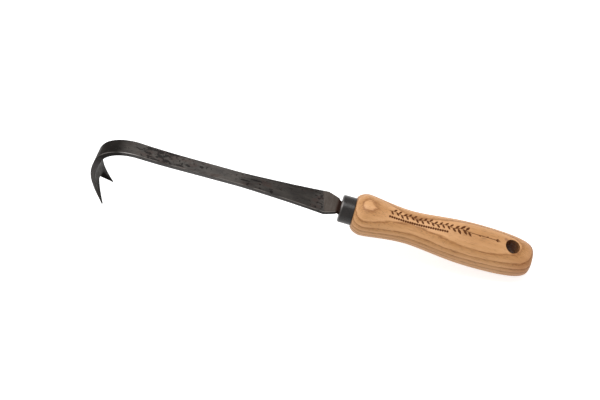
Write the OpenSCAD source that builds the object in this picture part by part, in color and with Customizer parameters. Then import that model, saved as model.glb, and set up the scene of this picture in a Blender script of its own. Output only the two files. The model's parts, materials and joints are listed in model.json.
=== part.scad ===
// Hand joint scraper: a forged strap with a hooked, forked claw, a pressed steel
// ferrule and a turned ash handle. It lies as it does on a bench, on the two claw
// tips and the underside of the handle. Millimetres, +Z up, handle towards +X.

/* [Handle] */
// Length of the turned handle, from its front shoulder to the butt
handle_len = 138; // [120:1:170]
// Diameter of the shoulder that the ferrule is driven against
shoulder_d = 22; // [21.6:0.2:26]
// Largest diameter of the bulb behind the ferrule
bulb_d = 32; // [28:0.5:36]
// Distance from the shoulder to the top of the bulb
bulb_x = 8.5; // [6:0.5:14]
// Smallest diameter, at the waist
waist_d = 25.4; // [22:0.2:28]
// Distance from the shoulder to the waist
waist_x = 44; // [36:1:56]
// Largest diameter of the rear swell
swell_d = 33; // [29:0.5:38]
// Distance from the shoulder to the rear swell
swell_x = 95; // [80:1:104]
// Diameter of the hole drilled through the butt end, to hang the tool up
hang_d = 11; // [6:0.5:13]
// Distance from the butt to the centre of that hole
hang_from_butt = 18; // [14:0.5:22]

/* [Ferrule] */
// Outer diameter of the ferrule
ferrule_d = 21.2; // [18:0.2:21.4]
// Length of the ferrule in front of the handle's shoulder
ferrule_len = 10.4; // [8:0.2:16]
// Wall of the ferrule, also of its closed front
ferrule_wall = 1.2; // [0.8:0.1:2]
// Radius on the ferrule's front edge
ferrule_edge_r = 1.5; // [0.5:0.1:2]
// Clearance between the ferrule and the tenon that it is driven onto
ferrule_fit = 0.05; // [0.02:0.01:0.1]

/* [Strap] */
// Length of the strap along its middle, from the neck to the start of the bend
strap_len = 154; // [120:1:190]
// Width at the shoulder, the widest place of the strap
shoulder_w = 18.3; // [14:0.1:21]
// Width of the strap's end beside the neck
strap_end_w = 12.2; // [9:0.1:13]
// Distance from that end to the widest place
shoulder_len = 9; // [6:0.2:16]
// Width of the narrow, even part of the strap
strap_w = 10.3; // [8:0.1:12]
// Distance from the widest place to the even part
taper_len = 68; // [40:0.5:90]
// Thickness of the strap
strap_t = 5; // [3.5:0.1:6]
// Thickness of the flattened end beside the neck
strap_end_t = 4.2; // [3:0.1:6]
// Radius on the strap's long edges
edge_r = 0.6; // [0.3:0.1:1.3]
// Height of the strap's end above the handle's axis
strap_rise = 1.7; // [0:0.1:3]
// Fall of the straight part towards the hook, in degrees
strap_fall = 0.9; // [-1:0.1:3]
// Length of the gentle upward sweep just before the bend
sweep_len = 31; // [15:1:50]
// Angle turned upwards by that sweep
sweep_turn = 5; // [0.5:0.1:8]

/* [Claw] */
// Radius of the bend, on the middle of the strap
bend_r = 30.6; // [20:0.2:45]
// Angle turned by the bend
bend_turn = 73; // [65:0.5:90]
// Width where the bend ends and the claw begins
bend_w = 12.7; // [9:0.1:15]
// Length of the claw along its middle, from the bend to the tips
claw_len = 65; // [45:0.2:75]
// Angle turned by the claw
claw_turn = 43.5; // [25:0.5:60]
// Width across the two tips
fork_w = 21.8; // [18:0.2:30]
// Depth of the notch between the two prongs
notch_depth = 24.8; // [20:0.2:38]
// Radius at the root of the notch
notch_root_r = 1.4; // [0.6:0.1:2]
// Width of each prong's tip
tip_w = 0.6; // [0.5:0.1:2]
// Thickness of each prong's tip
tip_t = 0.8; // [0.6:0.1:2]

/* [Neck and tang] */
// Width of the neck, where the tang enters the ferrule
neck_w = 10.2; // [7:0.1:11]
// Thickness of the neck there
neck_t = 3.6; // [3:0.1:5]
// Length of the neck that shows between the strap and the ferrule
neck_len = 2.4; // [1:0.1:5]
// Length of the tang, from the ferrule's front to its blunt point
tang_len = 62; // [35:1:90]
// Width and thickness of that point
tang_tip = 2.4; // [1.6:0.1:3]
// Clearance around the neck in the ferrule's slot
slot_gap = 0.25; // [0.1:0.05:0.5]
// Clearance around the tang in the wood
tang_fit = 0.1; // [0.05:0.05:0.3]

/* [Hidden] */
$fn = 96;
// How far a cutter runs past what it cuts
past = 1;

function mix(a, b, u) = a + (b - a) * u;
function ease(u) = (1 - cos(180 * u)) / 2;

// Places along the handle's axis, from the shoulder
ferrule_x = -ferrule_len;
strap_end_x = ferrule_x - neck_len;
tang_end_x = ferrule_x + tang_len;
hang_x = handle_len - hang_from_butt;
tenon_r = ferrule_d / 2 - ferrule_wall - ferrule_fit;
tenon_x = ferrule_x + ferrule_wall + ferrule_fit;

// The turner's profile as [distance from the shoulder, radius]. The front edge and
// the butt are superellipses, and cosine curves join the bulb, waist and swell.
front_power = 1.7;
waist_lead = 0.75;
swell_lead = 0.8;
butt_power_x = 2.3;
butt_power_r = 5.5;
front_steps = 8;
side_steps = 14;
butt_steps = 16;
handle_curve = concat(
    [
        for (i = [0:front_steps])
            let (u = 1 - cos(90 * i / front_steps))
            let (v = pow(1 - pow(1 - u, front_power), 1 / front_power))
            [bulb_x * u, mix(shoulder_d, bulb_d, v) / 2]
    ],
    [
        for (i = [1:side_steps])
            let (u = i / side_steps)
            [mix(bulb_x, waist_x, u), mix(bulb_d, waist_d, ease(pow(u, waist_lead))) / 2]
    ],
    [
        for (i = [1:side_steps])
            let (u = i / side_steps)
            [mix(waist_x, swell_x, u), mix(waist_d, swell_d, ease(pow(u, swell_lead))) / 2]
    ],
    [
        for (i = [1:butt_steps - 1])
            let (a = 90 * i / butt_steps)
            let (u = pow(sin(a), 2 / butt_power_x))
            [mix(swell_x, handle_len, u), swell_d / 2 * pow(cos(a), 2 / butt_power_r)]
    ],
    [[handle_len, 0]]
);

// The blade's middle line is a chain of arcs. A place on it is
// [x, z, heading in degrees below -X, length from the strap's end].
function along(p, len, turn, s) =
    turn == 0 ?
        [p[0] - s * cos(p[2]), p[1] - s * sin(p[2]), p[2], p[3] + s] :
        let (a = p[2] + turn * s / len, r = len / turn * 180 / PI)
        [p[0] - r * (sin(a) - sin(p[2])), p[1] + r * (cos(a) - cos(p[2])), a, p[3] + s];

bend_len = bend_r * bend_turn * PI / 180;
straight_len = strap_len - sweep_len;
strap_start = [strap_end_x, strap_rise, strap_fall, 0];
sweep_start = along(strap_start, straight_len, 0, straight_len);
bend_start = along(sweep_start, sweep_len, -sweep_turn, sweep_len);
claw_start = along(bend_start, bend_len, bend_turn, bend_len);
// The claw's first half takes the larger share of its turn
claw_lead = 0.58;
claw_half = claw_len / 2;
claw_middle = along(claw_start, claw_half, claw_lead * claw_turn, claw_half);
function claw_place(s) =
    s < claw_half ?
        along(claw_start, claw_half, claw_lead * claw_turn, s) :
        along(claw_middle, claw_half, (1 - claw_lead) * claw_turn, s - claw_half);

shoulder_steps = 6;
taper_steps = 10;
sweep_steps = 4;
bend_steps = 18;
claw_steps = 18;
blade_line = concat(
    [
        for (i = [0:shoulder_steps - 1])
            along(strap_start, straight_len, 0, shoulder_len * i / shoulder_steps)
    ],
    [
        for (i = [0:taper_steps])
            along(strap_start, straight_len, 0, shoulder_len + taper_len * i / taper_steps)
    ],
    [
        for (i = [0:sweep_steps - 1])
            along(sweep_start, sweep_len, -sweep_turn, sweep_len * i / sweep_steps)
    ],
    [
        for (i = [0:bend_steps - 1])
            along(bend_start, bend_len, bend_turn, bend_len * i / bend_steps)
    ],
    [for (i = [0:claw_steps]) claw_place(claw_len * i / claw_steps)]
);

// Width and thickness of the blade at a length s along its middle line
shoulder_power = 1.15;
taper_power = 1.4;
hook_power = 2;
flare_power = 0.5;
even_s = shoulder_len + taper_len;
function claw_share(s) = (s - claw_start[3]) / claw_len;
function blade_w(s) =
    s < shoulder_len ? mix(shoulder_w, strap_end_w, pow(1 - s / shoulder_len, shoulder_power)) :
    s < even_s ? mix(strap_w, shoulder_w, pow(1 - (s - shoulder_len) / taper_len, taper_power)) :
    s < claw_start[3] ? mix(strap_w, bend_w, pow((s - even_s) / (claw_start[3] - even_s), hook_power)) :
    mix(bend_w, fork_w, pow(claw_share(s), flare_power));
function blade_t(s) =
    s < even_s ? mix(strap_end_t, strap_t, ease(s / even_s)) :
    s < claw_start[3] ? strap_t :
    mix(strap_t, tip_t, claw_share(s));

// Outline of a rounded bar, with a point each 45 degrees around its corners
function bar_section(w, t) =
    let (r = min(edge_r, w / 3, t / 3))
    [
        for (c = [[1, 1, 0], [-1, 1, 90], [-1, -1, 180], [1, -1, 270]], k = [0:2])
            let (a = c[2] + 45 * k)
            [c[0] * (w / 2 - r) + r * cos(a), c[1] * (t / 2 - r) + r * sin(a)]
    ];

// A section set square to the middle line at p, with its width along Y
function ring(p, outline) =
    [for (q = outline) [p[0] - q[1] * sin(p[2]), q[0], p[1] + q[1] * cos(p[2])]];

// A closed body through rings that have the same number of points
module skin_over(rings) {
    n = len(rings[0]);
    last = len(rings) - 1;
    polyhedron(
        points = [for (r = rings, q = r) q],
        faces = concat(
            [[for (k = [n - 1:-1:0]) k]],
            [[for (k = [0:n - 1]) last * n + k]],
            [for (i = [0:last - 1], k = [0:n - 1]) [i * n + k, i * n + (k + 1) % n, i * n + n + k]],
            [
                for (i = [0:last - 1], k = [0:n - 1])
                    [i * n + (k + 1) % n, i * n + n + (k + 1) % n, i * n + n + k]
            ]
        )
    );
}

// The neck widens into the strap's end, and the tang tapers to its point
neck_steps = 5;
neck_power = 4;
neck_rings = [
    for (i = [0:neck_steps - 1])
        let (u = i / neck_steps)
        ring(
            [mix(ferrule_x, strap_end_x, u), strap_rise * ease(u), strap_fall * u],
            bar_section(mix(neck_w, strap_end_w, pow(u, neck_power)), mix(neck_t, strap_end_t, u))
        )
];
blade_rings = concat(
    [ring([tang_end_x, 0, 0], bar_section(tang_tip, tang_tip))],
    neck_rings,
    [for (p = blade_line) ring(p, bar_section(blade_w(p[3]), blade_t(p[3])))]
);

// Half width of the notch at a distance v from its root: a round root, then
// straight sides that leave tip_w of each prong
notch_end = fork_w / 2 - tip_w;
notch_lean = atan(notch_end / notch_depth);
root_v = notch_root_r * (1 - sin(notch_lean));
root_half = notch_root_r * cos(notch_lean);
notch_rise = (notch_end - root_half) / (notch_depth - root_v);
root_steps = 5;
side_cuts = 10;
notch_outline = concat(
    [
        for (i = [1:root_steps])
            let (a = (90 - notch_lean) * i / root_steps)
            [notch_root_r * (1 - cos(a)), notch_root_r * sin(a)]
    ],
    [
        for (i = [1:side_cuts])
            let (v = mix(root_v, notch_depth + past, i / side_cuts))
            [v, root_half + (v - root_v) * notch_rise]
    ]
);
notch_rings = [
    for (q = notch_outline)
        ring(
            claw_place(claw_len - notch_depth + q[0]),
            [
                [q[1], strap_t],
                [-q[1], strap_t],
                [-q[1], -strap_t],
                [q[1], -strap_t]
            ]
        )
];

// At rest the line from the tips' outer corners to the handle's underside is level
tip = claw_place(claw_len);
tip_corner = [tip[0] - tip_t / 2 * sin(tip[2]), tip[1] + tip_t / 2 * cos(tip[2])];
rest_tilt = min([for (q = handle_curve) atan2(-q[1] - tip_corner[1], q[0] - tip_corner[0])]);
side_points = concat(
    [for (q = handle_curve, side = [-1, 1]) [q[0], side * q[1]]],
    [
        for (p = blade_line, side = [-1, 1])
            let (h = side * blade_t(p[3]) / 2)
            [p[0] - h * sin(p[2]), p[1] + h * cos(p[2])]
    ]
);
rest_x = [for (q = side_points) q[0] * cos(rest_tilt) + q[1] * sin(rest_tilt)];
rest_z = [for (q = side_points) q[1] * cos(rest_tilt) - q[0] * sin(rest_tilt)];

module at_rest() {
    translate([-(min(rest_x) + max(rest_x)) / 2, 0, -min(rest_z)])
        rotate([0, rest_tilt, 0])
        children();
}

module around_axis() {
    rotate([0, 90, 0])
        rotate_extrude()
        children();
}

// A rectangular hole that tapers as the tang does, with a clearance on every side
module tang_space(gap, x_front, x_back) {
    function half(size, x) = mix(size, tang_tip, (x - ferrule_x) / tang_len) / 2 + gap;
    intersection() {
        translate([0, 0, -neck_w])
            linear_extrude(2 * neck_w)
            polygon([
                [x_front, -half(neck_w, x_front)],
                [x_back, -half(neck_w, x_back)],
                [x_back, half(neck_w, x_back)],
                [x_front, half(neck_w, x_front)]
            ]);
        translate([0, neck_w, 0])
            rotate([90, 0, 0])
            linear_extrude(2 * neck_w)
            polygon([
                [x_front, -half(neck_t, x_front)],
                [x_back, -half(neck_t, x_back)],
                [x_back, half(neck_t, x_back)],
                [x_front, half(neck_t, x_front)]
            ]);
    }
}

module blade() {
    color([0.24, 0.23, 0.22])
        at_rest()
        difference() {
            skin_over(blade_rings);
            skin_over(notch_rings);
        }
}

module ferrule() {
    color([0.2, 0.2, 0.21])
        at_rest()
        difference() {
            around_axis() {
                difference() {
                    union() {
                        translate([0, ferrule_x + ferrule_edge_r])
                            square([ferrule_d / 2, ferrule_len - ferrule_edge_r]);
                        translate([0, ferrule_x])
                            square([ferrule_d / 2 - ferrule_edge_r, ferrule_len]);
                        translate([ferrule_d / 2 - ferrule_edge_r, ferrule_x + ferrule_edge_r])
                            circle(ferrule_edge_r);
                    }
                    translate([0, ferrule_x + ferrule_wall])
                        square([ferrule_d / 2 - ferrule_wall, ferrule_len]);
                }
            }
            tang_space(slot_gap, ferrule_x - past, ferrule_x + ferrule_wall + past);
        }
}

module handle() {
    color([0.83, 0.64, 0.42])
        at_rest()
        difference() {
            around_axis() {
                polygon([
                    for (q = concat([[tenon_x, 0], [tenon_x, tenon_r], [0, tenon_r]], handle_curve))
                        [q[1], q[0]]
                ]);
            }
            tang_space(tang_fit, tenon_x - past, tang_end_x + tang_fit);
            translate([hang_x, 0, -swell_d])
                cylinder(h = 2 * swell_d, d = hang_d);
        }
}

// How the rest pose turns and moves the handle's axis, in degrees and millimetres
echo(rest_tilt = rest_tilt, lift = -min(rest_z), shift = -(min(rest_x) + max(rest_x)) / 2);

blade();
ferrule();
handle();
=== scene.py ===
import json
import math

import bmesh
import bpy
import numpy as np
from mathutils import Matrix


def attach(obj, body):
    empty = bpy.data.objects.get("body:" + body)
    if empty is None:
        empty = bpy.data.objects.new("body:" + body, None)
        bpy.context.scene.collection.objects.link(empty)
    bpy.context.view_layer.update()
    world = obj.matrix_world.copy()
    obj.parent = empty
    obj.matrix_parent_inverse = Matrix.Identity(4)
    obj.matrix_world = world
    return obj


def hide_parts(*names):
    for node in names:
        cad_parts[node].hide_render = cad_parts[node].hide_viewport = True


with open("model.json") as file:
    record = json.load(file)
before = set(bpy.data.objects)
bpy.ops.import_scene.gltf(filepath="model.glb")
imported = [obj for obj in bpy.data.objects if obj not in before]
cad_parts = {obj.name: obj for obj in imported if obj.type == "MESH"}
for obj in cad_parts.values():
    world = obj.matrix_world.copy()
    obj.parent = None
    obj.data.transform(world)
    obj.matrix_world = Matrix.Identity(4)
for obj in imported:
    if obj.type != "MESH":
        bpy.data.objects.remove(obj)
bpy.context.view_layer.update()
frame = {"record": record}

# Blade: one bar of carbon steel, forged flat, with a wide shoulder, a strap that curls over
# into a claw, and a claw that flares and is split into two prongs. Behind the shoulder the
# same bar is drawn down to a neck and a tang, which is driven into the handle.
tang_len, tang_tip = 62.0, 2.4
neck_len, neck_w, neck_t = 2.4, 10.2, 3.6
shoulder_x, shoulder_rise, shoulder_fall = -12.8, 1.7, math.radians(0.9)
shoulder_len, shoulder_w, strap_end_w, strap_end_t = 9.0, 18.3, 12.2, 4.2
taper_len, strap_w, strap_t = 68.0, 10.3, 5.0
straight_len, sweep_len, sweep_turn = 123.0, 31.0, math.radians(-5)
bend_len, bend_turn, bend_w = 30.6 * math.radians(73), math.radians(73), 12.7
claw_len, claw_turn, claw_lead, fork_w = 65.0, math.radians(43.5), 0.58, 21.8
notch_depth, notch_root, tip_w, tip_t = 24.8, 1.4, 0.6, 0.8
edge_round = 0.6
claw_start = straight_len + sweep_len + bend_len
blade_end = claw_start + claw_len
tang_start = -neck_len - tang_len
bend_twist, tip_twist = math.tan(math.radians(2.9)), math.tan(math.radians(5.5))
tips_aside, near_prong_longer = 0.9, 0.22
near_inset, near_splay, far_swell = 1.28, 0.54, 0.67

hanging_hole = next(m for m in frame["record"]["mounts"] if m["name"] == "hanging_hole")
hole_x = 120.0
face_up = np.array(hanging_hole["axis"]) / np.linalg.norm(hanging_hole["axis"])
to_butt = np.array([face_up[2], 0.0, -face_up[0]])
across = np.array([0.0, 1.0, 0.0])
tool_origin = np.array(hanging_hole["pos_m"]) - hole_x / 1000 * to_butt


def at_rest(points):
    """The tool's own millimetres as metres in the resting frame: the origin, plus x towards the
    butt, y across and z square to the face."""
    x, y, z = np.moveaxis(np.asarray(points) / 1000, -1, 0)[..., None]
    return tool_origin + x * to_butt + y * across + z * face_up


def mix(a, b, u):
    """The value a share u of the way from a to b."""
    return a + (b - a) * u


def ease(u):
    """A half cosine wave from 0 to 1, flat at both ends, held outside them."""
    return (1 - np.cos(math.pi * np.clip(u, 0, 1))) / 2


def middle_line(s):
    """Place and heading of the bar's middle line at a length s from the shoulder. Each arc adds
    its chord, run * sin(swing/2) / (swing/2), along the heading half way through its swing."""
    eased = np.clip((s + neck_len) / neck_len, 0, 1)
    x = shoulder_x - np.minimum(s, 0)
    z = shoulder_rise * ease(eased)
    heading = shoulder_fall * eased
    begin = 0.0
    for length, turn in (
        (straight_len, 0.0),
        (sweep_len, sweep_turn),
        (bend_len, bend_turn),
        (claw_len / 2, claw_turn * claw_lead),
        (claw_len / 2, claw_turn * (1 - claw_lead)),
    ):
        run = np.clip(s - begin, 0, length if begin + length < blade_end else None)
        swing = turn * run / length
        chord = run * np.sinc(swing / 2 / math.pi)
        x = x - chord * np.cos(heading + swing / 2)
        z = z - chord * np.sin(heading + swing / 2)
        heading = heading + swing
        begin += length
    return x, z, heading


def bar_width(s):
    """Width of the bar at s: a straight tang, a quick neck, a power curve down from the shoulder,
    an even strap, and a claw that flares with the root of its length."""
    tang = mix(tang_tip, neck_w, (s - tang_start) / tang_len)
    neck = mix(neck_w, strap_end_w, np.clip((s + neck_len) / neck_len, 0, 1) ** 4)
    flare = mix(shoulder_w, strap_end_w, np.clip(1 - s / shoulder_len, 0, 1) ** 1.15)
    taper = mix(strap_w, shoulder_w, np.clip(1 - (s - shoulder_len) / taper_len, 0, 1) ** 1.4)
    even_s = shoulder_len + taper_len
    hook = mix(strap_w, bend_w, np.clip((s - even_s) / (claw_start - even_s), 0, 1) ** 2)
    claw = mix(bend_w, fork_w, np.clip((s - claw_start) / claw_len, 0, 1.1) ** 0.5)
    return np.select(
        [s < -neck_len, s < 0, s < shoulder_len, s < even_s, s < claw_start],
        [tang, neck, flare, taper, hook],
        claw,
    )


def bar_thickness(s):
    """Thickness of the bar at s: tang, neck, a slow swell to the strap, and a claw that thins."""
    tang = mix(tang_tip, neck_t, (s - tang_start) / tang_len)
    neck = mix(neck_t, strap_end_t, np.clip((s + neck_len) / neck_len, 0, 1))
    strap = mix(strap_end_t, strap_t, ease(s / (shoulder_len + taper_len)))
    claw = mix(strap_t, tip_t, np.clip((s - claw_start) / claw_len, 0, 1))
    return np.select([s < -neck_len, s < 0, s < claw_start], [tang, neck, strap], claw)


forge = np.random.default_rng(11)
blow_count = 130
blow_s = forge.uniform(4, blade_end, blow_count)
blow_y = forge.uniform(-7, 7, blow_count)
blow_size = forge.uniform(2.2, 6.0, blow_count)
blow_depth = forge.uniform(-0.10, 0.05, blow_count)
wave_s = forge.uniform(0.05, 0.30, 10)
wave_y = forge.uniform(-0.25, 0.25, 10)
wave_start = forge.uniform(0, 2 * math.pi, 10)


def hammer_marks(s, y, side):
    """Height of the forged skin: round soft dents, each a bell curve, plus a few long low waves.
    side is 1 on the face and -1 underneath, where the same blows lie elsewhere."""
    at_s = np.asarray(s)[..., None]
    at_y = np.asarray(y)[..., None] * np.asarray(side)[..., None]
    far = ((at_s - blow_s) ** 2 + (at_y - blow_y) ** 2) / blow_size**2
    dents = (blow_depth * np.exp(-far)).sum(-1)
    waves = 0.012 * np.sin(wave_s * at_s + wave_y * at_y + wave_start).sum(-1)
    return (dents + waves) * np.clip(s / 6, 0, 1) * np.clip((blade_end - s) / 8, 0.15, 1)


# Scars where thick scale has broken off: [length, place across, half length, half width]
scars = np.array(
    [[106.0, 0.0, 1.6, 1.0], [115.6, -2.0, 1.3, 0.9], [122.2, -3.6, 2.8, 0.7],
     [126.5, 4.0, 2.2, 0.7], [131.0, 3.9, 3.0, 0.9], [133.6, 1.6, 1.6, 0.9],
     [133.0, -3.0, 2.4, 1.3], [138.4, -0.5, 1.8, 1.1], [138.6, 2.9, 2.5, 1.2],
     [142.5, 3.6, 2.6, 0.9], [141.0, -4.5, 3.2, 0.7], [147.2, 3.6, 2.2, 1.0],
     [148.3, -0.7, 1.3, 0.8], [146.0, -3.1, 2.8, 0.5], [71.6, -1.0, 4.0, 0.7],
     [63.5, 1.2, 4.5, 0.6], [50.6, -4.6, 1.2, 1.3]]
)


def scarred(s, y):
    """How far inside the nearest scar a place on the face lies: 1 from half way in to its middle,
    0 from half its radius outside."""
    far_s = (s[..., None] - scars[:, 0]) / scars[:, 2]
    far_y = (y[..., None] - scars[:, 1]) / scars[:, 3]
    return np.clip(1.5 - np.hypot(far_s, far_y).min(-1), 0, 1)


def bar_point(s, y, q):
    """A point of the blade from its length s, its place y across and its height q off the middle
    line: x = px - q sin(heading), z = pz + q cos(heading). Towards the tips the claw is twisted,
    set a little to one side, and its near prong is drawn out longer than the far one. A hump
    6.75 u^2 (1 - u) times the square of y makes the near prong slim and the far one full two
    thirds of the way down, and a splay of u^2 sets the near tip outwards."""
    x, z, heading = middle_line(s)
    level = np.clip(q / bar_thickness(s) + 0.5, 0, 1)
    upper = hammer_marks(s, y, np.ones_like(q))
    under = hammer_marks(s, y, -np.ones_like(q))
    q = q + mix(-under, upper, level)
    in_claw = np.clip((s - claw_start) / claw_len, 0, 1)
    twist = bend_twist * ease((s - claw_start + bend_len) / bend_len)
    twist = twist + (tip_twist - bend_twist) * ease(in_claw)
    drawn = near_prong_longer * 2 * y / bar_width(s) * np.clip((in_claw - 0.4) / 0.6, 0, 1) ** 2
    x = x - q * np.sin(heading) + y * twist + drawn * np.cos(heading)
    z = z + q * np.cos(heading) + drawn * np.sin(heading)
    grown = np.clip((in_claw - 0.15) / 0.85, 0, 1)
    swell = 6.75 * grown**2 * (1 - grown)
    outer = np.where(y < 0, near_inset * swell - near_splay * grown**2, far_swell * swell)
    aside = tips_aside * in_claw**2 + outer * (2 * y / bar_width(s)) ** 2
    return np.stack([x, y + aside, z], -1)


def skin(name, sheets):
    """One closed mesh from sheets, each a grid of points in tool millimetres with marks on the
    same grid. Cells of a sheet become quads, and points that share a place are merged."""
    corners, quads, marks = [], [], {}
    count = 0
    for sheet in sheets:
        points = sheet["points"]
        number = count + np.arange(points[..., 0].size).reshape(points.shape[:2])
        cells = np.stack([number[:-1, :-1], number[1:, :-1], number[1:, 1:], number[:-1, 1:]], -1)
        quads.append(cells[sheet["kept"]] if "kept" in sheet else cells.reshape(-1, 4))
        corners.append(at_rest(points).reshape(-1, 3))
        for mark in sheet["marks"]:
            marks.setdefault(mark, []).append(
                np.broadcast_to(sheet["marks"][mark], points.shape[:2]).ravel()
            )
        count = count + number.size
    mesh = bpy.data.meshes.new(name)
    mesh.from_pydata(np.concatenate(corners).tolist(), [], np.concatenate(quads).tolist())
    for mark, values in marks.items():
        layer = mesh.attributes.new(mark, "FLOAT", "POINT")
        layer.data.foreach_set("value", np.concatenate(values).astype(np.float32))
    work = bmesh.new()
    work.from_mesh(mesh)
    bmesh.ops.remove_doubles(work, verts=work.verts, dist=1.5e-6)
    bmesh.ops.dissolve_degenerate(work, edges=work.edges, dist=1e-6)
    bmesh.ops.recalc_face_normals(work, faces=work.faces)
    work.to_mesh(mesh)
    work.free()
    mesh.shade_smooth()
    mesh.set_sharp_from_angle(angle=math.radians(38))
    piece = bpy.data.objects.new(name, mesh)
    bpy.context.scene.collection.objects.link(piece)
    return piece


# The notch: each side leans off the tool's own line, and root_s is the centre of the round
# root. The sheets end where the rounded edge begins, so they split at split_s.
lean = math.atan((fork_w / 2 - tip_w) / notch_depth)
root_s = blade_end - notch_depth + notch_root
notch_rise = (fork_w / 2 - tip_w - notch_root * math.cos(lean)) / (
    notch_depth - notch_root * (1 - math.sin(lean))
)


def rounding(s):
    """Radius of the bar's edges at s: 0.6 mm, or a third of the width or thickness."""
    prong = np.clip((s - root_s) * (fork_w / 2 - tip_w) / notch_depth, 0, None)
    free_w = np.where(s > root_s, bar_width(s) / 2 - prong, bar_width(s))
    return np.clip(np.minimum(free_w, bar_thickness(s)) / 3, 0.2, edge_round)


root_round = float(rounding(np.array(root_s - notch_root - edge_round)))
root_reach = notch_root + root_round
split_s = root_s - root_reach
side_s = root_s - root_reach * math.sin(lean)
tip_s = blade_end - float(rounding(np.array(blade_end)))


def notch_edge(s):
    """Half width of the notch plus the edge's rounding, and the direction into the notch: a circle
    round the root, then a straight side, both set out by the rounding."""
    turn = np.clip((root_s - s) / root_reach, -1, 1)
    circle = root_reach * np.sqrt(1 - turn**2)
    side = notch_root * math.cos(lean) + (s - root_s + notch_root * math.sin(lean)) * notch_rise
    side = side + rounding(s) / math.cos(lean)
    half = np.where(s < side_s, circle, side)
    into_s = np.where(s < side_s, turn, math.sin(lean))
    into_y = -np.sqrt(1 - into_s**2)
    return np.where(s <= split_s, 0, half), into_s, into_y


root_turns = np.linspace(0, math.pi / 2 - lean, 9)
stations = np.concatenate(
    [
        np.linspace(tang_start + 0.8, -neck_len, 18)[:-1],
        np.linspace(-neck_len, 0, 8)[:-1],
        np.arange(0, shoulder_len, 0.4),
        np.arange(shoulder_len, split_s - 0.1, 0.55),
        root_s - root_reach * np.cos(root_turns),
        np.linspace(side_s, tip_s, 64)[1:],
    ]
)
half_columns = 13
share = np.linspace(0, 1, half_columns)
inner, into_s, into_y = notch_edge(stations)
outer = bar_width(stations) / 2 - rounding(stations)
sheet_s = np.repeat(stations[:, None], half_columns, 1)
sheet_y = mix(inner[:, None], outer[:, None], share)
blade_sheets = []
for hand in (-1, 1):
    for face in (-1, 1):
        y = hand * sheet_y
        q = face * bar_thickness(sheet_s) / 2
        blade_sheets.append(
            {
                "points": bar_point(sheet_s, y, q),
                "marks": {
                    "along": sheet_s,
                    "over": y,
                    "rim": 0.5 - 0.5 * face,
                    "hem": share,
                    "scar": scarred(sheet_s, y) * (face > 0),
                },
            }
        )


def rim_rows(s, y, out_s, out_y, hem):
    """A row for each place on the blade's outline, with single values repeated: [length, place
    across, direction outwards, share of the way from the notch to the outer edge]."""
    return np.stack(np.broadcast_arrays(s, y, out_s, out_y, hem), 1)


# The rim is a rounded edge carried round the blade's outline, from the middle of the tang's end
# to the root of the notch. Corners turn the direction on the spot.
edge_steps = 6
fan = np.linspace(0, math.pi / 2, edge_steps)
notch_turn = np.linspace(0, math.pi / 2 - lean, edge_steps)
in_notch = stations >= split_s - 1e-9
outline = np.concatenate(
    [
        rim_rows(stations[0], sheet_y[0], -1.0, 0.0, share),
        rim_rows(stations[0], outer[0], -np.cos(fan), np.sin(fan), 1.0),
        rim_rows(stations, outer, 0.0, 1.0, 1.0),
        rim_rows(tip_s, outer[-1], np.sin(fan), np.cos(fan), 1.0),
        rim_rows(tip_s, sheet_y[-1, ::-1], 1.0, 0.0, share[::-1]),
        rim_rows(tip_s, inner[-1], np.cos(notch_turn), -np.sin(notch_turn), 0.0),
        rim_rows(stations, inner, into_s, into_y, 0.0)[in_notch][::-1],
    ]
)
edge_out = np.concatenate([np.sin(fan), np.sin(fan[::-1])])
edge_drop = np.concatenate([1 - np.cos(fan), 1 - np.cos(fan[::-1])])
edge_side = np.repeat([1.0, -1.0], edge_steps)
edge_mark = np.concatenate([np.linspace(0, 0.4, edge_steps), np.linspace(0.6, 1, edge_steps)])
for hand in (-1, 1):
    s, y, out_s, out_y, hem = outline.T[:, :, None]
    r = np.repeat(rounding(s), edge_out.size, 1)
    s_out = s + out_s * r * edge_out
    y_out = hand * (y + out_y * r * edge_out)
    q = edge_side * (bar_thickness(s) / 2 - r * edge_drop)
    blade_sheets.append(
        {
            "points": bar_point(s_out, y_out, q),
            "marks": {
                "along": s_out,
                "over": y_out,
                "rim": edge_mark,
                "hem": hem,
                "scar": scarred(s_out, y_out) * (edge_mark < 0.3),
            },
        }
    )
blade = skin("forged_blade", blade_sheets)


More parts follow.
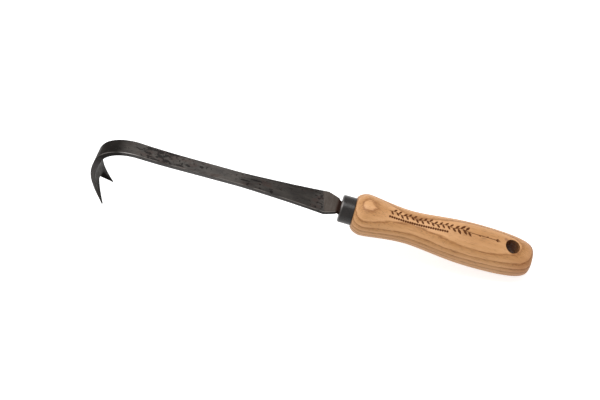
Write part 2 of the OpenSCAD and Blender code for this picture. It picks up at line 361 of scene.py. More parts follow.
class Finish:
    """The nodes of a material or a world, put together one by one. A socket given as an input is
    linked, and any other value is set on the input."""

    def __init__(self, owner):
        self.owner = owner
        owner.use_nodes = True
        self.tree = owner.node_tree
        self.tree.nodes.clear()

    def node(self, kind, inputs=(), **settings):
        """A new node of a kind, with its inputs by name or number and its own settings."""
        made = self.tree.nodes.new("ShaderNode" + kind)
        for key, value in settings.items():
            setattr(made, key, value)
        for key, value in dict(inputs).items():
            if isinstance(value, bpy.types.NodeSocket):
                self.tree.links.new(value, made.inputs[key])
            else:
                made.inputs[key].default_value = value
        return made

    def op(self, operation, a, b=0.0, c=0.0, clamp=False):
        """The result of one operation on up to three values."""
        made = self.node("Math", {0: a, 1: b, 2: c}, operation=operation, use_clamp=clamp)
        return made.outputs[0]

    def mark(self, name):
        """A mark that skin() stored on the mesh."""
        return self.node("Attribute", attribute_name=name).outputs["Fac"]

    def noise(self, vector, scale, detail=3.0, rough=0.55, stretch=(1, 1, 1), shift=(0, 0, 0)):
        """Noise from 0 to 1 at a place that is first multiplied by stretch and then shifted."""
        placed = self.node("Mapping", {"Vector": vector, "Scale": stretch, "Location": shift})
        return self.node(
            "TexNoise",
            {"Vector": placed.outputs[0], "Scale": scale, "Detail": detail, "Roughness": rough},
        ).outputs["Fac"]

    def ramp(self, share, stops):
        """Greys along a share from 0 to 1, given as (place, grey)."""
        made = self.node("ValToRGB", {"Fac": share})
        elements = made.color_ramp.elements
        while len(elements) < len(stops):
            elements.new(1.0)
        for element, (place, grey) in zip(elements, stops):
            element.position = place
            element.color = (grey, grey, grey, 1.0)
        return made.outputs[0]

    def band(self, value, low, high, to_low=0.0, to_high=1.0):
        """A value from low to high as a smooth share from to_low to to_high."""
        made = self.node(
            "MapRange",
            {0: value, 1: low, 2: high, 3: to_low, 4: to_high},
            interpolation_type="SMOOTHSTEP",
        )
        return made.outputs[0]

    def blend(self, share, a, b, mode="MIX"):
        """Colour a covered with colour b by a share from 0 to 1."""
        made = self.node("Mix", {0: share}, data_type="RGBA", blend_type=mode)
        for key, value in ((6, a), (7, b)):
            if isinstance(value, bpy.types.NodeSocket):
                self.tree.links.new(value, made.inputs[key])
            else:
                made.inputs[key].default_value = (*value, 1.0)
        return made.outputs[2]

    def bump(self, height, distance, strength, below=None):
        """A relief of a height from 0 to 1 times a distance in metres, over another relief."""
        inputs = {"Height": height, "Distance": distance, "Strength": strength}
        if below is not None:
            inputs["Normal"] = below
        return self.node("Bump", inputs).outputs[0]

    def seen(self):
        """1 for rays from the camera, in reflections and through glass, and 0 for the others."""
        path = self.node("LightPath").outputs
        shown = self.op("MAXIMUM", path["Is Camera Ray"], path["Is Glossy Ray"])
        return self.op("MAXIMUM", shown, path["Is Transmission Ray"])

    def surface(self, inputs):
        """The finished material, with one shader that has these inputs."""
        shader = self.node("BsdfPrincipled", inputs)
        self.node("OutputMaterial", {"Surface": shader.outputs[0]})
        return self.owner


f = Finish(bpy.data.materials.new("forge_scale_on_steel"))
along, over, rim = f.mark("along"), f.mark("over"), f.mark("rim")
hem, scar = f.mark("hem"), f.mark("scar")
flat = f.node("CombineXYZ", {0: along, 1: over, 2: f.op("MULTIPLY", rim, 6.0)}).outputs[0]
run = f.op("DIVIDE", along, blade_end)

# The scale's tone along the bar: dark next to the shoulder, paler along the middle of the
# strap, black past the bend and grey again on the claw. The tone is partly the scale's own,
# and the black past the bend is painted shade and dark reflection. It is mottled, with
# patches of rust and dark streaks.
scale_tone_and_shade = f.ramp(
    run,
    [(0.0, 0.03), (0.04, 0.07), (0.08, 0.04), (0.26, 0.055), (0.31, 0.08), (0.59, 0.08),
     (0.635, 0.06), (0.66, 0.02), (0.70, 0.02), (0.735, 0.04), (0.85, 0.05), (1.0, 0.04)],
)
broad = f.noise(flat, 0.20, 4.0, 0.6, stretch=(0.35, 1, 1))
steel = f.blend(f.band(broad, 0.3, 0.7), (0.76, 0.75, 0.74), (1.26, 1.22, 1.16))
steel = f.blend(1.0, scale_tone_and_shade, steel, "MULTIPLY")
steel = f.blend(1.0, steel, (1.05, 0.97, 0.92), "MULTIPLY")
patches = f.ramp(
    run,
    [(0.0, 0.0), (0.035, 0.1), (0.045, 0.9), (0.075, 0.35), (0.10, 0.05), (0.18, 0.08),
     (0.23, 0.5), (0.30, 0.45), (0.34, 0.1), (0.42, 0.15), (0.46, 0.6), (0.50, 0.9),
     (0.54, 1.0), (0.58, 0.8), (0.61, 0.2), (0.64, 0.0), (0.70, 0.0), (1.0, 0.1)],
)
rust = f.noise(flat, 0.24, 4.0, 0.65, stretch=(0.5, 1, 1), shift=(40, 7, 3))
rust = f.band(f.op("ADD", rust, f.op("MULTIPLY", patches, 0.10)), 0.54, 0.66)
rust = f.op("MULTIPLY", rust, f.band(along, 164.0, 154.0, 0.05, 0.45))
steel = f.blend(rust, steel, (0.062, 0.036, 0.030))
streak = f.noise(flat, 0.34, 4.0, 0.6, stretch=(0.22, 1, 1), shift=(11, 4, 2))
streak = f.band(f.op("ADD", streak, f.op("MULTIPLY", patches, 0.07)), 0.55, 0.66)
steel = f.blend(f.op("MULTIPLY", streak, 0.40), steel, (0.026, 0.022, 0.020))

# Black flecks and the scars, both with torn edges, and a few pale specks.
flecks = f.noise(flat, 0.55, 4.0, 0.65, stretch=(0.75, 1, 1), shift=(9, 2, 5))
torn = f.noise(flat, 0.9, 4.0, 0.7, shift=(1, 8, 5))
torn = f.op("MULTIPLY", f.op("SUBTRACT", torn, 0.5), 1.6)
torn = f.band(f.op("ADD", scar, torn), 0.38, 0.56)
flecks = f.band(f.op("ADD", flecks, f.op("MULTIPLY", patches, 0.11)), 0.62, 0.68)
flecks = f.op("MAXIMUM", flecks, torn)
steel = f.blend(f.op("MULTIPLY", flecks, 0.92), steel, (0.012, 0.010, 0.0095))
specks = f.noise(flat, 1.5, 2.0, 0.5, stretch=(0.8, 1, 1), shift=(4, 6, 1))
steel = f.blend(f.band(specks, 0.72, 0.78, 0.0, 0.6), steel, (0.20, 0.19, 0.17))

# The shoulder's end, paler up to a ragged slanting border, and a painted dark reflection
# along the far edge.
border = f.op("MULTIPLY_ADD", over, 0.28, 10.9)
border = f.op("MULTIPLY_ADD", f.op("SUBTRACT", specks, 0.5), 1.6, border)
facet = f.band(f.op("SUBTRACT", border, along), -0.3, 0.3)
paler_end = f.noise(flat, 0.5, 4.0, 0.65, stretch=(1, 0.3, 1), shift=(2, 2, 2))
paler_end = f.blend(f.band(paler_end, 0.3, 0.7), (0.078, 0.062, 0.052), (0.112, 0.094, 0.082))
steel = f.blend(facet, steel, paler_end)
near_edge = f.band(over, 2.0, -2.0)
# A painted dark reflection along the far edge, ragged, from a little past the shoulder.
far_edge_dark_reflection = f.band(over, 4.2, 5.2)
ragged = f.band(f.noise(flat, 0.45, 4.0, 0.7, stretch=(0.6, 1, 1), shift=(8, 8, 8)), 0.38, 0.55)
far_edge_dark_reflection = f.op("MULTIPLY", f.op("MULTIPLY", far_edge_dark_reflection, ragged), f.band(along, 12.0, 16.0))
steel = f.blend(f.op("MULTIPLY", far_edge_dark_reflection, 0.6), steel, (0.018, 0.015, 0.014))

# The bar's narrow sides, in greys that are partly the scale and partly painted light and shade,
# the near arris, paler with wear and a painted highlight, and a painted highlight on the bend.
on_side = f.ramp(rim, [(0.0, 0.0), (0.22, 0.0), (0.34, 1.0), (0.66, 1.0), (0.80, 0.0), (1.0, 0.0)])
# The narrow sides' greys along the bar: the scale's tone with painted light and shade.
side_tone_and_painted_light = f.ramp(
    run,
    [(0.0, 0.025), (0.05, 0.032), (0.075, 0.085), (0.20, 0.10), (0.46, 0.105), (0.50, 0.075),
     (0.60, 0.055), (0.66, 0.032), (0.73, 0.030), (0.775, 0.085), (0.84, 0.095), (1.0, 0.075)],
)
side_tone_and_painted_light = f.blend(1.0, side_tone_and_painted_light, (1.05, 0.96, 0.92), "MULTIPLY")
steel = f.blend(f.op("MULTIPLY", on_side, 0.85), steel, side_tone_and_painted_light)
arris_stops = [(0.0, 0.0), (0.06, 0.0), (0.16, 1.0), (0.26, 1.0), (0.34, 0.0), (1.0, 0.0)]
on_arris = f.ramp(rim, arris_stops)
# The near arris: paler with wear, and with a painted highlight along that edge.
wear_and_highlight = f.band(f.noise(flat, 0.25, 3.0, 0.6, stretch=(0.4, 1, 1), shift=(3, 1, 8)), 0.36, 0.58)
wear_and_highlight = f.op("MULTIPLY", f.op("MULTIPLY", on_arris, near_edge), wear_and_highlight)
wear_and_highlight = f.op("MULTIPLY", wear_and_highlight, f.band(along, claw_start, claw_start - 12.0))
steel = f.blend(f.op("MULTIPLY", wear_and_highlight, 0.8), steel, (0.25, 0.225, 0.21))
# A painted highlight on the near arris where the bend begins.
painted_glint = f.op("MULTIPLY", f.band(along, 150.0, 158.0), f.band(along, 171.0, 162.0))
painted_glint = f.op("MULTIPLY", f.op("MULTIPLY", on_arris, near_edge), painted_glint)
steel = f.blend(f.op("MULTIPLY", painted_glint, 0.9), steel, (0.58, 0.55, 0.53))

# The prongs, black beside the notch with painted shade and black along their arrises, and
# rust on the neck.
forked = f.band(along, split_s - 2.0, split_s + 4.0)
painted_notch_shade = f.op("MULTIPLY", f.band(hem, 0.85, 0.25), f.band(over, -1.0, 2.0, 0.45, 1.0))
painted_notch_shade = f.op("MULTIPLY", forked, painted_notch_shade)
steel = f.blend(f.op("MULTIPLY", painted_notch_shade, 0.9), steel, (0.011, 0.0095, 0.009))
outline_dark = f.op("MULTIPLY", on_arris, f.band(along, claw_start + 12.0, claw_start + 20.0))
steel = f.blend(f.op("MULTIPLY", outline_dark, 0.7), steel, (0.012, 0.010, 0.0095))
neck_rust = f.band(along, 1.2, -0.4, 0.0, 0.85)
steel = f.blend(neck_rust, steel, (0.040, 0.018, 0.013))

# Sheen that follows the tone, so that the black scale and the painted shade past the bend stay
# black, with less by the notch's painted shade, and a pitted skin.
shine = f.op("MULTIPLY_ADD", scale_tone_and_shade, 1.8, -0.06)
shine = f.op("MAXIMUM", f.op("MULTIPLY_ADD", painted_notch_shade, -0.03, shine), 0.0)
grit = f.noise(flat, 2.6, 3.0, 0.7)
pits = f.noise(flat, 0.8, 2.0, 0.6, stretch=(0.8, 1, 1), shift=(1, 5, 2))
rough = f.band(f.noise(flat, 0.5, 3.0, 0.6), 0.25, 0.75, 0.42, 0.60)
skin_bump = f.bump(grit, 0.00003, 0.6)
skin_bump = f.bump(pits, 0.0001, 0.5, skin_bump)
skin_bump = f.bump(f.op("SUBTRACT", 1.0, flecks), 0.0001, 0.6, skin_bump)
blade.data.materials.append(
    f.surface(
        {
            "Base Color": steel,
            "Metallic": f.op("MULTIPLY", wear_and_highlight, 0.7),
            "Roughness": rough,
            "Specular IOR Level": shine,
            "Normal": skin_bump,
        }
    )
)
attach(blade, "root")
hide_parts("blade")

# Ferrule: a short cap pressed from mild steel and blackened, with a rounded front edge and a
# slot for the neck. It is driven onto the handle's tenon and stops the wood from splitting.
ferrule_r, ferrule_len, ferrule_wall, ferrule_edge = 10.6, 10.4, 1.2, 1.5
slot_half_w, slot_half_t = neck_w / 2 + 0.25, neck_t / 2 + 0.25
ferrule_x = -ferrule_len


def section(half_w, half_t, power, angle):
    """A closed outline on the superellipse |y/half_w|^power + |z/half_t|^power = 1: power 2 gives
    an ellipse, and power 8 a rectangle with small round corners. Angle 0 faces -Y, and 90
    degrees faces +Z."""
    c, s = np.cos(angle), np.sin(angle)
    y = -half_w * np.sign(c) * np.abs(c) ** (2 / power)
    z = half_t * np.sign(s) * np.abs(s) ** (2 / power)
    return y, z


def hoops(x, half_w, half_t, power):
    """Rows [x, half width, half thickness, power] of sections, with single values repeated."""
    return np.stack(np.broadcast_arrays(*np.atleast_1d(x, half_w, half_t, power)), 1)


around = np.linspace(0, 2 * math.pi, 145)
press = np.linspace(0, math.pi / 2, 9)
lip = 0.25
lip_turn = np.linspace(0, math.pi / 2, 4)
front_ring = ferrule_r - ferrule_edge
press_r = front_ring + ferrule_edge * np.sin(press)
lip_r = ferrule_r - lip + lip * np.cos(lip_turn)
inside_r = ferrule_r - ferrule_wall
inside_x = ferrule_x + ferrule_wall
face = np.array([0.12, 0.3, 0.55, 0.8])
face_w, face_t = mix(slot_half_w, front_ring, face), mix(slot_half_t, front_ring, face)
cap_rows = np.concatenate(
    [
        hoops(ferrule_x, slot_half_w, slot_half_t, 8.0),
        hoops(ferrule_x, face_w, face_t, 2 + 6 * (1 - face) ** 2),
        hoops(ferrule_x + ferrule_edge * (1 - np.cos(press)), press_r, press_r, 2.0),
        hoops(np.linspace(ferrule_x + 2.2, -0.6, 9), ferrule_r, ferrule_r, 2.0),
        hoops(-lip + lip * np.sin(lip_turn), lip_r, lip_r, 2.0),
        hoops(0.0, inside_r, inside_r, 2.0),
        hoops(inside_x, inside_r, inside_r, 2.0),
        hoops(inside_x, slot_half_w, slot_half_t, 8.0),
        hoops(ferrule_x, slot_half_w, slot_half_t, 8.0),
    ]
)
cap_x, cap_w, cap_t, cap_power = cap_rows.T[:, :, None]
cap_y, cap_z = section(cap_w, cap_t, cap_power, around)
cap_points = np.stack([cap_x + 0 * cap_y, cap_y, cap_z], -1)
# The pale front rim: a little wear all round, and a painted highlight near 76 degrees round.
highlight_at, highlight_spread = math.radians(76), 0.24
front_wear_and_highlight = np.clip(1 - np.abs(cap_x - ferrule_x - 0.5), 0, 1) * np.clip((cap_w - 8.4) / 1.2, 0, 1)
front_wear_and_highlight = front_wear_and_highlight * (0.12 + 0.88 * np.exp(-(((around - highlight_at) / highlight_spread) ** 2)))
ferrule = skin(
    "pressed_ferrule",
    [{"points": cap_points, "marks": {"rim_wear_and_highlight": front_wear_and_highlight, "along": cap_x, "turn": around}}],
)
f = Finish(bpy.data.materials.new("blackened_ferrule"))
here = f.node("TexCoord").outputs["Object"]
smoke = f.noise(here, 160.0, 4.0, 0.6)
black = f.blend(f.band(smoke, 0.3, 0.7), (0.0120, 0.0095, 0.0088), (0.022, 0.018, 0.016))
# The pale front rim, wear and painted highlight, made a little ragged.
rub_and_highlight = f.noise(here, 420.0, 3.0, 0.7)
rub_and_highlight = f.op("MULTIPLY", f.mark("rim_wear_and_highlight"), f.band(rub_and_highlight, 0.2, 0.6, 0.5, 1.5), clamp=True)
black = f.blend(rub_and_highlight, black, (0.36, 0.33, 0.315))
streak = f.node("CombineXYZ", {0: f.mark("along"), 1: f.op("MULTIPLY", f.mark("turn"), 0.6)})
streak = f.noise(streak.outputs[0], 5.0, 3.0, 0.7)
satin = f.band(f.noise(here, 300.0, 3.0), 0.3, 0.7, 0.24, 0.34)
cap_bump = f.bump(streak, 0.000012, 0.6)
cap_bump = f.bump(f.noise(here, 1500.0, 2.0), 0.00001, 0.5, cap_bump)
ferrule.data.materials.append(
    f.surface(
        {
            "Base Color": black,
            "Roughness": satin,
            "Specular IOR Level": 0.28,
            "Normal": cap_bump,
        }
    )
)
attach(ferrule, "root")
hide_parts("ferrule")

# Handle: one piece of ash, turned with a tenon for the ferrule, a bulb, a waist and a rear
# swell, drilled through for hanging, sanded and oiled. A sprig of leaves is burnt into the
# face with a hot stamp, so it lies a quarter of a millimetre deep.
shoulder_r, bulb_r, bulb_x = 11.0, 16.0, 8.5
waist_r, waist_x, swell_r, swell_x, handle_len = 12.7, 44.0, 16.5, 95.0, 138.0
tenon_r, tenon_x = 9.35, -9.15
socket_x, socket_gap = 51.7, 0.1
hole_r, hole_soft = 5.5, 0.5


def turned_r(x):
    """Radius of the turned handle at x: superellipses of power 1.7 at the front and of powers 2.3
    and 5.5 at the butt, joined by cosine curves through the waist."""
    front = 1 - np.abs(1 - np.clip(x / bulb_x, 0, 1)) ** 1.7
    front = mix(shoulder_r, bulb_r, front ** (1 / 1.7))
    dip = mix(bulb_r, waist_r, ease(np.clip((x - bulb_x) / (waist_x - bulb_x), 0, 1) ** 0.75))
    rise = mix(waist_r, swell_r, ease(np.clip((x - waist_x) / (swell_x - waist_x), 0, 1) ** 0.8))
    butt = np.clip(1 - np.clip((x - swell_x) / (handle_len - swell_x), 0, 1) ** 2.3, 0, 1)
    butt = swell_r * butt ** (1 / 5.5)
    return np.select([x < bulb_x, x < waist_x, x < swell_x], [front, dip, rise], butt)


def butt_x(r):
    """The place along the butt where its radius is r, from the same superellipse."""
    return swell_x + (handle_len - swell_x) * (1 - (r / swell_r) ** 5.5) ** (1 / 2.3)


# The turned skin's rows run from the socket's tip, out of the tenon's end and along the outside
# to the butt. They are closest where the stamp lies, and the columns are closest on the face
# and underneath, where a window is left for the hole.
front_x = bulb_x * (1 - np.cos(np.linspace(0, math.pi / 2, 15)))
side_x = np.concatenate(
    [
        front_x,
        np.linspace(bulb_x, 25, 24)[1:],
        np.arange(25.25, 80, 0.25),
        np.arange(80, 110, 0.5),
        np.arange(110, 128.5, 1.0),
    ]
)
cap_r = turned_r(np.array(128.0)) * np.cos(np.linspace(0, math.pi / 2, 26))[1:]
cap_r[-1] = 0.0
side_r = turned_r(side_x)
socket_w = neck_w / 2 + socket_gap - (neck_w - tang_tip) / 2 * (tenon_x - ferrule_x) / tang_len
socket_t = neck_t / 2 + socket_gap - (neck_t - tang_tip) / 2 * (tenon_x - ferrule_x) / tang_len
socket_tip = tang_tip / 2 + socket_gap
way = np.linspace(0, 1, 7)
way_w, way_t = mix(socket_tip, socket_w, way), mix(socket_tip, socket_t, way)
face = np.array([0.3, 0.65, 1.0])
face_w, face_t = mix(socket_w, tenon_r, face), mix(socket_t, tenon_r, face)
inner_rows = np.concatenate(
    [
        hoops(socket_x, 0.0, 0.0, 8.0),
        hoops(mix(socket_x, tenon_x, way), way_w, way_t, 8.0),
        hoops(tenon_x, face_w, face_t, 2 + 6 * (1 - face) ** 2),
        hoops(np.array([-6.0, -3.0, 0.0]), tenon_r, tenon_r, 2.0),
    ]
)
outer_rows = np.concatenate(
    [hoops(side_x, side_r, side_r, 2.0), hoops(butt_x(cap_r), cap_r, cap_r, 2.0)]
)
turned_rows = np.concatenate([inner_rows, outer_rows])
window_deg = 28.0
low_deg, high_deg = 90 - window_deg, 90 + window_deg
face_deg = np.arange(low_deg, high_deg + 0.5, 1.0)
edge_deg = np.linspace(high_deg, 360 - high_deg, 32)[1:-1]
rear_deg = 360 - face_deg[::-1]
near_deg = np.linspace(360 - low_deg, 360 + low_deg, 32)[1:]
round_deg = np.concatenate([face_deg, edge_deg, rear_deg, near_deg])
turn = np.radians(round_deg)

# The stamp, on the unrolled face: [x, place across, tilt in radians, length, width] of a leaf.
stem_start, vine_end, stem_end = 25.6, 89.0, 108.6
vine_mid, stem_mid, vine_sway, vine_wave = 1.6, 0.5, 0.6, 13.0
stamp_start, stamp_end, stamp_half_w, stamp_depth = 24.0, 111.0, 7.0, 0.25
stem_half_w, burn_fade = 0.24, 0.34


def stem_y(x):
    """The sprig's stem: a sine wave that dies out towards the straight, bare end of the stem."""
    wave = vine_sway * np.sin(2 * math.pi * (x - stem_start) / vine_wave)
    return stem_mid + (1 - ease((x - vine_end + 12) / 16)) * (vine_mid - stem_mid + wave)


def leaf_rows(x, y, tilt, length, width):
    """Rows of leaves for the stamp, with single values repeated."""
    return np.stack(np.broadcast_arrays(x, y, tilt, length, width), 1)


leaf_x = np.arange(26.6, 86.0, 1.95)
leaf_side = np.where(np.arange(leaf_x.size) % 2, 1.0, -1.0)
leaf_tilt = leaf_side * np.radians(50 + 6 * np.sin(leaf_x))
big = np.exp(-(((leaf_x - 80.0) / 6.0) ** 2))
leaves = np.concatenate(
    [
        leaf_rows(leaf_x, stem_y(leaf_x), leaf_tilt, 3.6 + 1.8 * big, 1.5 + 0.5 * big),
        leaf_rows(np.arange(25.6, 71.0, 1.75), -2.9, 0.0, 1.6, 1.8),
        leaf_rows(106.4, stem_mid, np.array([0.5, -0.5]), 2.6, 0.9),
        leaf_rows(np.array([107.6]), stem_mid, 0.0, 2.4, 0.9),
        leaf_rows(np.array([99.0]), stem_mid, 0.45, 2.2, 0.8),
        leaf_rows(np.array([93.0]), stem_mid, -0.45, 2.4, 0.8),
    ]
)


def burnt(x, y):
    """How deep the stamp burns at a place on the face, 0 to 1. A leaf is where two circles
    overlap, a bead is a short fat leaf, and the stem is a band round the sine wave. Each edge
    fades over a third of a millimetre."""
    dx = x[..., None] - leaves[:, 0]
    dy = y[..., None] - leaves[:, 1]
    tilt, half_len, half_wide = leaves[:, 2], leaves[:, 3] / 2, leaves[:, 4] / 2
    length = dx * np.cos(tilt) + dy * np.sin(tilt) - half_len
    width = np.abs(dy * np.cos(tilt) - dx * np.sin(tilt))
    circle = (half_len**2 + half_wide**2) / (2 * half_wide)
    leaf = np.sqrt(length**2 + (width + circle - half_wide) ** 2) - circle
    inside = (x > stem_start - 0.5) & (x < stem_end)
    stem = np.where(inside, np.abs(y - stem_y(x)) - stem_half_w, np.inf)
    nearest = np.minimum(leaf.min(-1), stem)
    return np.clip(0.5 - nearest / burn_fade, 0, 1)


row_x, row_w, row_t, row_power = turned_rows.T[:, :, None]
row_y, row_z = section(row_w, row_t, row_power, turn)
outside = np.arange(len(turned_rows)) >= len(inner_rows)
face_y = np.where(outside[:, None], (turn - math.pi / 2) * row_w, np.inf)
row_x = row_x + 0 * row_y
burn = np.zeros_like(row_y)
on_face = (np.abs(face_y) < stamp_half_w) & (row_x > stamp_start) & (row_x < stamp_end)
burn[on_face] = burnt(row_x[on_face], face_y[on_face])
sunk = 1 - stamp_depth * burn / np.maximum(row_w, 1)
turned_points = np.stack([row_x, row_y * sunk, row_z * sunk], -1)
low_x, high_x = hole_x - 8.0, hole_x + 8.0
cell_x = (row_x[:-1, 0] + row_x[1:, 0]) / 2
cell_deg = (round_deg[:-1] + round_deg[1:]) / 2
window_rows = outside[:-1] & (cell_x > low_x) & (cell_x < high_x)
window_columns = (np.abs(cell_deg - 90) < window_deg) | (np.abs(cell_deg - 270) < window_deg)
kept_cells = ~(window_rows[:, None] & window_columns[None, :])

# Where the hole is drilled, the surface is a patch that runs from the window's four sides to
# the hole's softened edge, down the bore and out to the window underneath.
hole_rows = np.arange(low_x, high_x + 0.5, 1.0)
ring_x = np.concatenate(
    [low_x + 0 * face_deg, hole_rows[1:], high_x + 0 * face_deg[1:], hole_rows[::-1][1:]]
)
ring_deg = np.concatenate(
    [face_deg, high_deg + 0 * hole_rows[1:], face_deg[::-1][1:], low_deg + 0 * hole_rows[1:]]
)
ring_y = -turned_r(ring_x) * np.cos(np.radians(ring_deg))
bearing = np.arctan2(ring_y, ring_x - hole_x)
spread = np.linspace(0, 1, 7)[:, None]
soft_r = hole_r + hole_soft
patch_x = mix(ring_x, hole_x + soft_r * np.cos(bearing), spread)
patch_y = mix(ring_y, soft_r * np.sin(bearing), spread)
patch_z = np.sqrt(turned_r(patch_x) ** 2 - patch_y**2)
soft_turn = np.linspace(0, math.pi / 2, 8)[1:, None]
soft_x = hole_x + (soft_r - hole_soft * np.sin(soft_turn)) * np.cos(bearing)
soft_y = (soft_r - hole_soft * np.sin(soft_turn)) * np.sin(bearing)
soft_z = np.sqrt(turned_r(soft_x) ** 2 - soft_y**2) - hole_soft * (1 - np.cos(soft_turn))
upper_x = np.concatenate([patch_x, soft_x])
upper_y = np.concatenate([patch_y, soft_y])
upper_z = np.concatenate([patch_z, soft_z])
bore_share = np.linspace(1, -1, 13)[1:-1, None]
hole_points = np.stack(
    [
        np.concatenate([upper_x, soft_x[-1] + 0 * bore_share, upper_x[::-1]]),
        np.concatenate([upper_y, soft_y[-1] + 0 * bore_share, upper_y[::-1]]),
        np.concatenate([upper_z, soft_z[-1] * bore_share, -upper_z[::-1]]),
    ],
    -1,
)

# The hole darkens, half at its softened edge and fully in the bore: partly the drill's scorch
# and partly painted shade in the recess. It is less dark on the side away from a bearing, which
# is painted shade for the way light falls into the hole.
edge_row, bore_row = len(upper_x) - 4, len(upper_x) - 1
shaded_side_bearing = math.radians(154)
scorch_and_shade = np.zeros(len(hole_points))
scorch_and_shade[edge_row:-edge_row] = 0.5
scorch_and_shade[bore_row:-bore_row] = 1.0
scorch_and_shade = scorch_and_shade[:, None] * (0.62 + 0.38 * np.cos(bearing - shaded_side_bearing))
turned_marks = {"burn": burn, "scorch_and_shade": 0.0}
hole_marks = {"burn": 0.0, "scorch_and_shade": scorch_and_shade}
handle = skin(
    "turned_handle",
    [
        {"points": turned_points, "kept": kept_cells, "marks": turned_marks},
        {"points": hole_points, "marks": hole_marks},
    ],
)

# Ash in the tool's own millimetres: the height in the trunk picks a place in the year rings.
f = Finish(bpy.data.materials.new("oiled_ash"))
here = f.node("TexCoord").outputs["Object"]
tilt_back = -math.atan2(face_up[0], face_up[2])
back = Matrix.Rotation(tilt_back, 3, "Y")
shift_back = -(back @ Matrix.Translation(tool_origin * 1000).to_translation())
tool_mm = f.node(
    "Mapping",
    {"Vector": here, "Scale": (1000,) * 3, "Rotation": (0, tilt_back, 0), "Location": shift_back},
).outputs[0]
split = f.node("SeparateXYZ", {0: tool_mm})
x_mm, y_mm, z_mm = split.outputs
sway = f.noise(tool_mm, 1.0, 2.0, 0.5, stretch=(0.018, 0.07, 0.07))
jag = f.noise(tool_mm, 1.0, 4.0, 0.6, stretch=(0.09, 0.5, 0.5), shift=(5, 5, 5))
slope = f.op("MULTIPLY", x_mm, f.op("MULTIPLY_ADD", x_mm, 0.00007, 0.012))
height = f.op("SUBTRACT", z_mm, slope)
height = f.op("ADD", height, f.op("MULTIPLY", f.op("POWER", y_mm, 2.0), 1 / 170))
height = f.op("ADD", height, f.op("MULTIPLY", f.op("SUBTRACT", sway, 0.5), 2.4))
height = f.op("ADD", height, f.op("MULTIPLY", f.op("SUBTRACT", jag, 0.5), 1.7))
year_tops = (-17.8, -14.0, -10.2, -6.4, -2.6, 1.2, 4.9, 8.5, 12.0, 15.4)
year_span = 20.0
years, year_lines = [(0.0, 0.3)], [(0.0, 0.0)]
for stops, steps in (
    (years, ((-2.8, 0.0), (-0.30, 1.0), (0.05, 0.0))),
    (year_lines, ((-0.75, 0.0), (-0.20, 1.0), (0.12, 0.0))),
):
    for top in year_tops:
        stops += [((top + step + year_span) / (2 * year_span), grey) for step, grey in steps]
year_share = f.op("DIVIDE", f.op("ADD", height, year_span), 2 * year_span)
pore_share = f.node("SeparateColor", {0: f.ramp(year_share, years)}).outputs[0]
year_line = f.node("SeparateColor", {0: f.ramp(year_share, year_lines)}).outputs[0]

# Late wood darkens to early wood up to each ring, with a drawn line, fibres and pores.
fibre = f.noise(tool_mm, 1.0, 4.0, 0.65, stretch=(0.03, 1.1, 1.1), shift=(2, 9, 4))
streaks = f.noise(tool_mm, 1.0, 3.0, 0.6, stretch=(0.012, 0.28, 0.28), shift=(7, 1, 1))
pores = f.noise(tool_mm, 1.0, 2.0, 0.5, stretch=(0.16, 3.4, 3.4), shift=(1, 2, 3))
pores = f.band(f.op("ADD", pores, f.op("MULTIPLY", pore_share, 0.10)), 0.62, 0.74)
late_wood = f.blend(f.band(streaks, 0.3, 0.7), (0.82, 0.450, 0.215), (0.70, 0.370, 0.160))
early_wood = f.blend(f.band(fibre, 0.3, 0.7), (0.48, 0.220, 0.075), (0.60, 0.295, 0.108))
ash = f.blend(f.op("MULTIPLY", pore_share, 0.9), late_wood, early_wood)
drawn_line = f.op("MULTIPLY", year_line, f.band(jag, 0.30, 0.55, 0.35, 0.85))
ash = f.blend(drawn_line, ash, (0.34, 0.135, 0.045))
ash = f.blend(f.op("MULTIPLY", f.band(fibre, 0.35, 0.75), 0.14), ash, (0.42, 0.22, 0.10))
ash = f.blend(f.op("MULTIPLY", pores, 0.65), ash, (0.22, 0.10, 0.04))

# The butt is darker except along its top, which is painted shade, and soot lies in the joint
# with the ferrule. The burnt stamp has a brown halo, the hole is scorched and painted with
# shade, and beside its rim there is a dark patch of painted shade.
# Painted shade on the butt, all but its top.
butt_painted_shade = f.op("MULTIPLY", f.band(x_mm, 110.0, 134.0), f.band(z_mm, 15.5, 9.0))
ash = f.blend(butt_painted_shade, ash, (0.78, 0.68, 0.62), "MULTIPLY")
joint_soot = f.band(f.op("ADD", x_mm, f.op("MULTIPLY", fibre, 0.5)), 1.1, 0.2)
ash = f.blend(f.op("MULTIPLY", joint_soot, 0.6), ash, (0.10, 0.045, 0.02))
char_noise = f.band(f.noise(tool_mm, 1.6, 3.0, 0.7), 0.2, 0.6, 0.75, 1.0)
char = f.op("MULTIPLY", f.mark("burn"), char_noise, clamp=True)
halo = f.band(f.mark("burn"), 0.0, 0.5)
ash = f.blend(f.op("MULTIPLY", halo, 0.35), ash, (0.25, 0.10, 0.03))
ash = f.blend(f.band(char, 0.25, 0.8), ash, (0.115, 0.036, 0.009))
# Scorch and painted shade in the hanging hole.
ash = f.blend(f.op("MULTIPLY", f.mark("scorch_and_shade"), 0.9), ash, (0.10, 0.034, 0.014))
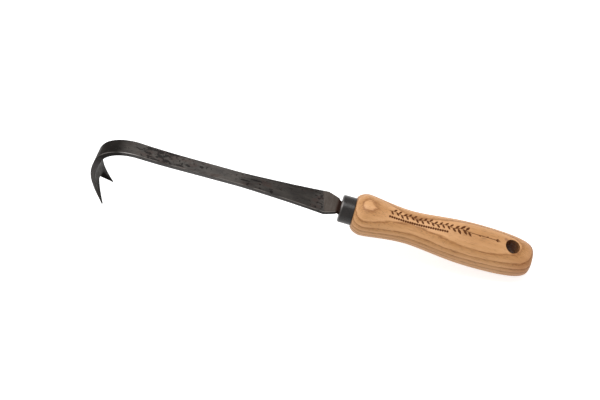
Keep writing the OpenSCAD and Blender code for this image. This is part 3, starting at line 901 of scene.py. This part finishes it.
# A dark patch of painted shade just outside the hole's rim.
rim_shade_x = f.op("POWER", f.op("SUBTRACT", x_mm, 114.2), 2.0)
rim_shade_y = f.op("POWER", f.op("SUBTRACT", y_mm, 3.8), 2.0)
painted_rim_shade = f.op("ADD", f.op("ADD", rim_shade_x, rim_shade_y), f.op("MULTIPLY", jag, 3.0))
painted_rim_shade = f.op("MULTIPLY", f.band(painted_rim_shade, 5.5, 1.5, 0.0, 0.55), f.band(z_mm, 0.0, 5.0))
ash = f.blend(painted_rim_shade, ash, (0.22, 0.085, 0.060))
wood_rough = f.band(f.noise(tool_mm, 1.0, 3.0, 0.6, stretch=(0.1, 1, 1)), 0.3, 0.7, 0.40, 0.52)
wood_bump = f.bump(fibre, 0.00003, 0.5)
wood_bump = f.bump(f.op("SUBTRACT", 1.0, pores), 0.00005, 0.6, wood_bump)
handle.data.materials.append(
    f.surface(
        {
            "Base Color": ash,
            "Roughness": wood_rough,
            "Normal": wood_bump,
            "Specular IOR Level": f.op("MULTIPLY_ADD", char, -0.2, 0.25),
        }
    )
)
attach(handle, "root")
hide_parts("handle")

# Table and light: a plain white sheet, a large soft lamp overhead, a small lamp low beside the
# claw and an even white room. Only rays from the camera, in reflections and through glass see
# the sheet and the room as bright as paper.
floor_mesh = bpy.data.meshes.new("white_table")
reach = 6.0
floor_mesh.from_pydata(
    [(-reach, -reach, 0), (reach, -reach, 0), (reach, reach, 0), (-reach, reach, 0)],
    [],
    [(0, 1, 2, 3)],
)
floor = bpy.data.objects.new("white_table", floor_mesh)
bpy.context.scene.collection.objects.link(floor)
f = Finish(bpy.data.materials.new("white_paper"))
paper_glow = f.op("MULTIPLY", f.seen(), 0.72)
paper = f.node("BsdfDiffuse", {"Color": (0.86, 0.86, 0.86, 1.0)})
glow = f.node("Emission", {"Color": (1, 1, 1, 1), "Strength": paper_glow})
both = f.node("AddShader", {0: paper.outputs[0], 1: glow.outputs[0]})
f.node("OutputMaterial", {"Surface": both.outputs[0]})
floor.data.materials.append(f.owner)

f = Finish(bpy.data.worlds.new("white_room"))
room_light, room_white = 0.45, 1.0
level = f.node("MapRange", {"Value": f.seen(), "To Min": room_light, "To Max": room_white})
room = f.node("Background", {"Color": (1, 1, 1, 1), "Strength": level.outputs[0]})
f.node("OutputWorld", {"Surface": room.outputs[0]})
bpy.context.scene.world = f.owner


def area_lamp(name, size, energy, place, turned):
    """A rectangular lamp of a size (along X, along Y) in metres and a power in watts, at a place
    and turned about X, Y and Z in degrees from facing straight down."""
    data = bpy.data.lights.new(name, "AREA")
    data.shape = "RECTANGLE"
    data.size, data.size_y = size
    data.energy = energy
    lamp = bpy.data.objects.new(name, data)
    lamp.location = place
    lamp.rotation_euler = [math.radians(angle) for angle in turned]
    bpy.context.scene.collection.objects.link(lamp)


area_lamp("soft_lamp", (0.7, 0.55), 8.5, (0.0, 0.19, 1.2), (-9, 0, 0))
area_lamp("side_lamp", (0.14, 0.14), 0.7, (-0.90, 0.03, 0.42), (0, -68, 0))

# Camera: 0.8 m from the tool, 61 degrees above its face plane and rolled so that the handle
# runs down to the right, as it lies in the picture.
picture_px, sensor_mm = 600, 36
camera_rise, camera_roll = math.radians(61), math.radians(15.722)
camera_far, camera_f_px = 800.0, 1056.4
aim = np.array([-40.627, 0.0, -5.606])
backward = np.array([0.0, -math.cos(camera_rise), math.sin(camera_rise)])
rightward = np.array([1.0, 0.0, 0.0])
upward = np.array([0.0, math.sin(camera_rise), math.cos(camera_rise)])
lens_x = math.cos(camera_roll) * rightward + math.sin(camera_roll) * upward
lens_y = -math.sin(camera_roll) * rightward + math.cos(camera_roll) * upward
tool_axes = np.stack([to_butt, across, face_up], 1)
turned = tool_axes @ np.stack([lens_x, lens_y, backward], 1)
camera_data = bpy.data.cameras.new("camera")
camera_data.lens = camera_f_px * sensor_mm / picture_px
camera_data.sensor_width = sensor_mm
camera_data.shift_x = -0.5 / picture_px
camera_data.shift_y = 0.5 / picture_px
camera_data.clip_start = 0.01
camera = bpy.data.objects.new("camera", camera_data)
camera.matrix_world = Matrix.Translation(at_rest(aim + camera_far * backward)) @ Matrix(
    turned.tolist()
).to_4x4()
bpy.context.scene.collection.objects.link(camera)
bpy.context.scene.camera = camera
bpy.context.scene.view_settings.view_transform = "Standard"
